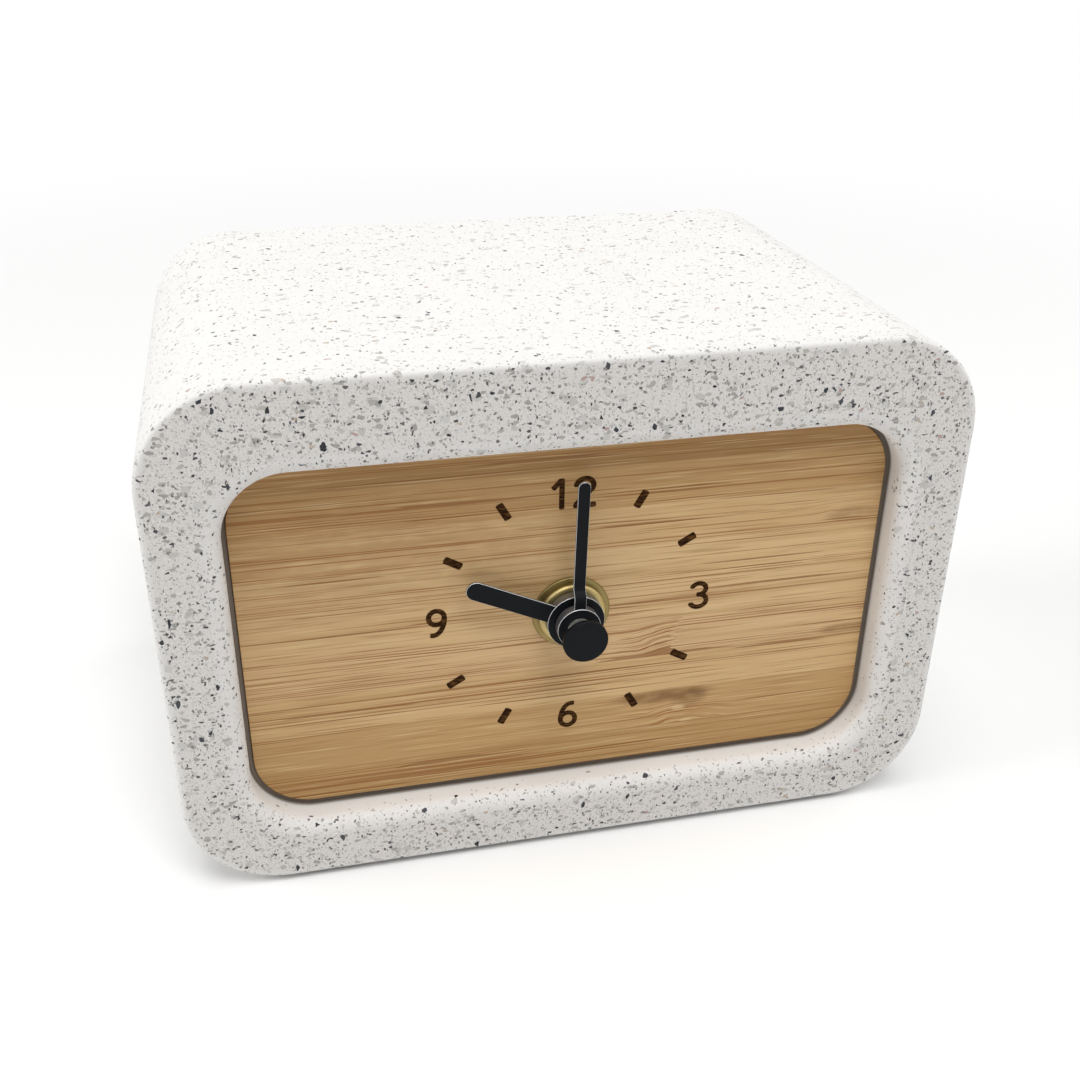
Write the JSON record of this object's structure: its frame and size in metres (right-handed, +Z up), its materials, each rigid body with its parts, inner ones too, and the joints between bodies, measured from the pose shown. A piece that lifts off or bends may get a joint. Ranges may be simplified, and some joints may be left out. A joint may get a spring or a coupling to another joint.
{
  "type": "wireless charger clock",
  "caption": "Cast cement desk clock with a bamboo dial in a front recess, black hands on a quartz movement, and a wireless phone charger under its flat top.",
  "frame": {"origin": "on the table, under the middle of the clock", "axes": "+Z up, the dial faces -Y, +X to the right of a person who reads the dial"},
  "size_m": [0.12, 0.0826, 0.0822],
  "materials": {
    "cement": "ground white cement with grey and black grit",
    "bamboo": "sanded bamboo",
    "brass": "turned",
    "hand_black": "satin black with bare cut edges",
    "case_plastic": "moulded",
    "gear_plastic": "moulded",
    "knob_plastic": "moulded",
    "steel": "plain",
    "magnet": "sintered",
    "copper": "wound enamelled wire",
    "circuit": "solder mask",
    "chip": "moulded epoxy",
    "battery_wrap": "plain sleeve",
    "ferrite": "sintered",
    "cover_plastic": "fine moulded grain",
    "rubber": "moulded"
  },
  "bodies": {
    "body": {"cement_shell": "cement", "dial_panel": "bamboo", "brass_washer": "brass", "brass_nut": "brass", "rubber_gasket": "rubber", "movement_case": "case_plastic", "movement_rear_plate": "case_plastic", "bearing_plate": "gear_plastic", "stator": "steel", "coil_core": "steel", "coil_bobbin": "gear_plastic", "motor_coil": "copper", "movement_board": "circuit", "quartz_crystal": "steel", "clock_chip": "chip", "aa_battery": "battery_wrap", "battery_contact_positive": "steel", "battery_contact_negative": "steel", "charger_tray": "case_plastic", "charger_board": "circuit", "charger_chip": "chip", "ferrite_sheet": "ferrite", "charging_coil": "copper", "usb_socket": "steel", "back_cover": "cover_plastic", "back_screw_1": "steel", "back_screw_2": "steel", "back_screw_3": "steel", "back_screw_4": "steel", "threaded_insert_1": "brass", "threaded_insert_2": "brass", "threaded_insert_3": "brass", "threaded_insert_4": "brass", "rubber_foot_1": "rubber", "rubber_foot_2": "rubber", "rubber_foot_3": "rubber", "rubber_foot_4": "rubber"},
    "minute_train": {"minute_hand": "hand_black", "cannon_pinion": "brass"},
    "hour_train": {"hour_hand": "hand_black", "hour_wheel": "gear_plastic"},
    "setting_train": {"minute_wheel": "gear_plastic", "setting_knob": "knob_plastic"},
    "second_train": {"hand_cap": "hand_black", "second_wheel": "gear_plastic"},
    "third_train": {"third_wheel": "gear_plastic"},
    "centre_train": {"centre_wheel": "gear_plastic"},
    "intermediate_train": {"intermediate_wheel": "gear_plastic"},
    "rotor": {"rotor_pinion": "gear_plastic", "rotor_magnet": "magnet"},
    "door": {"battery_door": "cover_plastic"}
  },
  "joints": [
    {"name": "minute_turn", "type": "hinge", "parent": "body", "child": "minute_train", "pos_m": [0, 0, 0.04022], "axis": [0, 1, 0], "continuous": true},
    {"name": "hour_turn", "type": "hinge", "parent": "body", "child": "hour_train", "pos_m": [0, 0, 0.04022], "axis": [0, 1, 0], "continuous": true},
    {"name": "setting_turn", "type": "hinge", "parent": "body", "child": "setting_train", "pos_m": [0.00311, 0, 0.05181], "axis": [0, 1, 0], "continuous": true},
    {"name": "second_turn", "type": "hinge", "parent": "body", "child": "second_train", "pos_m": [0, 0, 0.04022], "axis": [0, 1, 0], "continuous": true},
    {"name": "third_turn", "type": "hinge", "parent": "body", "child": "third_train", "pos_m": [-0.00831, 0, 0.04502], "axis": [0, 1, 0], "continuous": true},
    {"name": "centre_turn", "type": "hinge", "parent": "body", "child": "centre_train", "pos_m": [0, 0, 0.04022], "axis": [0, 1, 0], "continuous": true},
    {"name": "intermediate_turn", "type": "hinge", "parent": "body", "child": "intermediate_train", "pos_m": [0.00789, 0, 0.04309], "axis": [0, 1, 0], "continuous": true},
    {"name": "rotor_turn", "type": "hinge", "parent": "body", "child": "rotor", "pos_m": [0.01509, 0, 0.04309], "axis": [0, 1, 0], "continuous": true},
    {"name": "door_pull", "type": "slide", "parent": "body", "child": "door", "axis": [0, 1, 0], "range_m": [0, 0.03]}
  ],
  "couplings": [
    {"joint": "hour_turn", "follows": "minute_turn", "ratio": 0.083333},
    {"joint": "setting_turn", "follows": "minute_turn", "ratio": -0.33333},
    {"joint": "third_turn", "follows": "second_turn", "ratio": -0.13333},
    {"joint": "centre_turn", "follows": "second_turn", "ratio": 0.016667},
    {"joint": "intermediate_turn", "follows": "second_turn", "ratio": -6},
    {"joint": "rotor_turn", "follows": "second_turn", "ratio": 30}
  ]
}
